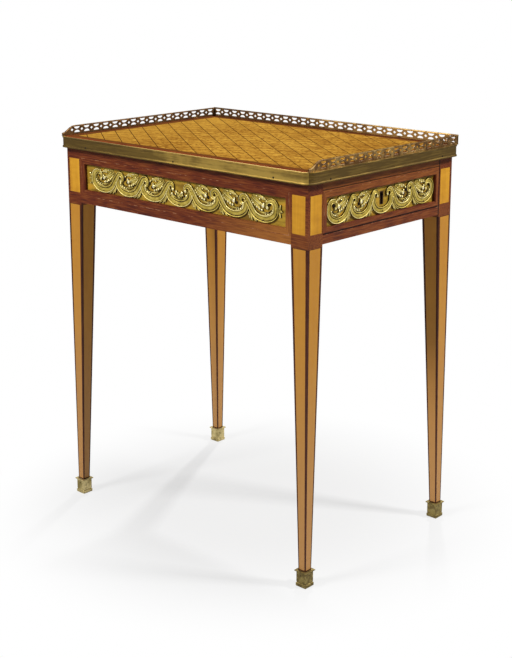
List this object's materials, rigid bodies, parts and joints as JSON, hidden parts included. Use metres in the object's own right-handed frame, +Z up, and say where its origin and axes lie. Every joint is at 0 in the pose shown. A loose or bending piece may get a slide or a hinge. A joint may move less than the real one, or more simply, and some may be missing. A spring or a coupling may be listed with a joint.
{
  "type": "writing table",
  "caption": "Small veneered writing table on tapered legs, with a pierced brass gallery round the top, gilt scroll mounts in the frieze and a locking drawer in one end.",
  "frame": {"origin": "on the floor, under the middle of the top", "axes": "+Z up, +X to the right along the long side, towards the end with the drawer, -Y out of the front, which is the long side without a gallery"},
  "size_m": [0.614, 0.414, 0.7274],
  "materials": {
    "amaranth": "French polished veneer",
    "satinwood": "French polished veneer",
    "parquetry": "French polished parquetry of lozenges",
    "oak": "planed, unpolished",
    "gilt_bronze": "chased and gilt",
    "brass": "polished, slightly dulled",
    "brass_pins": "drawn wire",
    "iron": "filed and blackened",
    "steel": "filed bright"
  },
  "bodies": {
    "table": {"back_moulding": "amaranth", "back_mount": "gilt_bronze", "back_mount_pins": "brass_pins", "back_panel": "satinwood", "back_rail": "amaranth", "drawer_bottom_rail": "amaranth", "drawer_stops": "oak", "drawer_top_rail": "amaranth", "edge_band_back": "brass", "edge_band_front": "brass", "edge_band_left": "brass", "edge_band_right": "brass", "edge_nails": "brass_pins", "front_moulding": "amaranth", "front_mount": "gilt_bronze", "front_mount_pins": "brass_pins", "front_panel": "satinwood", "front_rail": "amaranth", "gallery_back": "brass", "gallery_left": "brass", "gallery_pegs": "brass_pins", "gallery_right": "brass", "glue_blocks": "oak", "guides": "oak", "kickers": "oak", "left_moulding": "amaranth", "left_mount": "gilt_bronze", "left_mount_pins": "brass_pins", "left_panel": "satinwood", "left_rail": "amaranth", "leg_back_left": "amaranth", "leg_back_right": "amaranth", "leg_front_left": "amaranth", "leg_front_right": "amaranth", "leg_inlays_back_left": "satinwood", "leg_inlays_back_right": "satinwood", "leg_inlays_front_left": "satinwood", "leg_inlays_front_right": "satinwood", "runners": "oak", "sabot_back_left": "brass", "sabot_back_right": "brass", "sabot_front_left": "brass", "sabot_front_right": "brass", "sabot_pins": "brass_pins", "top_border": "amaranth", "top_core": "oak", "top_parquetry": "parquetry"},
    "drawer": {"drawer_back": "oak", "drawer_bottom": "oak", "drawer_front": "amaranth", "drawer_moulding": "amaranth", "drawer_mount": "gilt_bronze", "drawer_mount_pins": "brass_pins", "drawer_panel": "satinwood", "drawer_side_back": "oak", "drawer_side_front": "oak", "lock_body": "iron"},
    "bolt": {"lock_bolt": "steel"}
  },
  "joints": [
    {"name": "drawer_slide", "type": "slide", "parent": "table", "child": "drawer", "axis": [1, 0, 0], "range_m": [0, 0.27]},
    {"name": "bolt_throw", "type": "slide", "parent": "drawer", "child": "bolt", "axis": [0, 0, 1], "range_m": [0, 0.007]}
  ]
}
